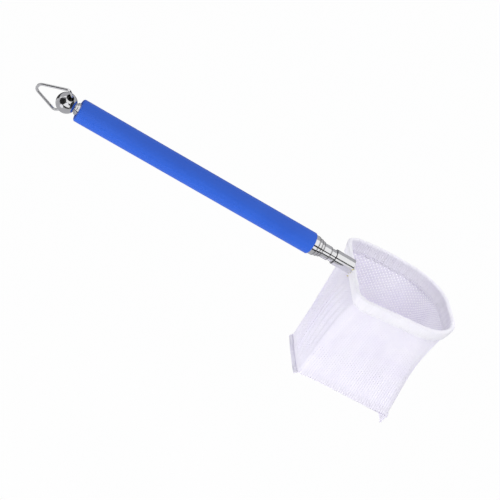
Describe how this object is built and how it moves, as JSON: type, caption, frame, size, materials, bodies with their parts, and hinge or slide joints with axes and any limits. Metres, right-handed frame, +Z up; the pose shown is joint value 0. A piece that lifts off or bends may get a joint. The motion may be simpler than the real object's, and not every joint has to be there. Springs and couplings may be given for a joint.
{
  "type": "telescopic aquarium fish net",
  "caption": "Hand fish net: soft grip on a telescopic steel rod, ball end with a swinging wire hanging loop, and a D-shaped wire hoop with a knitted bag.",
  "frame": {"origin": "middle of the grip, on the rod's axis", "axes": "+X along the rod towards the net, +Z up out of the net's mouth, bag hanging towards -Z"},
  "size_m": [0.2614, 0.065, 0.0758],
  "materials": {
    "grip": "soft smooth vinyl",
    "tube_steel": "polished stainless",
    "bright_steel": "bright plated",
    "brass": "plain",
    "plug": "turned",
    "hoop": "drawn wire",
    "netting": "fine knitted nylon"
  },
  "bodies": {
    "handle": {"grip_sleeve": "grip", "outer_tube": "tube_steel", "tail_plug": "plug", "cap_collar": "bright_steel", "ball_cap": "bright_steel"},
    "section_2": {"tube_2": "tube_steel", "friction_sleeve_2": "brass"},
    "section_3": {"tube_3": "tube_steel", "friction_sleeve_3": "brass"},
    "section_4": {"tube_4": "tube_steel", "friction_sleeve_4": "brass"},
    "swivel_sleeve": {"friction_sleeve_5": "brass"},
    "head": {"tube_5": "tube_steel", "ferrule": "bright_steel", "wire_plug": "plug", "hoop_wire": "hoop", "rim_hem": "netting", "bag_wall": "netting", "bag_bottom": "netting", "seam_flap_inner": "netting", "seam_flap_outer": "netting", "seam_ear": "netting"},
    "loop": {"hanging_loop": "bright_steel"}
  },
  "joints": [
    {"name": "slide_2", "type": "slide", "parent": "handle", "child": "section_2", "axis": [1, 0, 0], "range_m": [0, 0.1303]},
    {"name": "slide_3", "type": "slide", "parent": "section_2", "child": "section_3", "axis": [1, 0, 0], "range_m": [0, 0.1323]},
    {"name": "slide_4", "type": "slide", "parent": "section_3", "child": "section_4", "axis": [1, 0, 0], "range_m": [0, 0.134]},
    {"name": "slide_5", "type": "slide", "parent": "section_4", "child": "swivel_sleeve", "axis": [1, 0, 0], "range_m": [0, 0.1373]},
    {"name": "head_turn", "type": "hinge", "parent": "swivel_sleeve", "child": "head", "pos_m": [-0.05655, 0, 0], "axis": [1, 0, 0], "continuous": true},
    {"name": "loop_swing", "type": "hinge", "parent": "handle", "child": "loop", "pos_m": [-0.0784, 0, 0], "axis": [0, -0.5, 0.866], "range_deg": [-120, 120]}
  ]
}
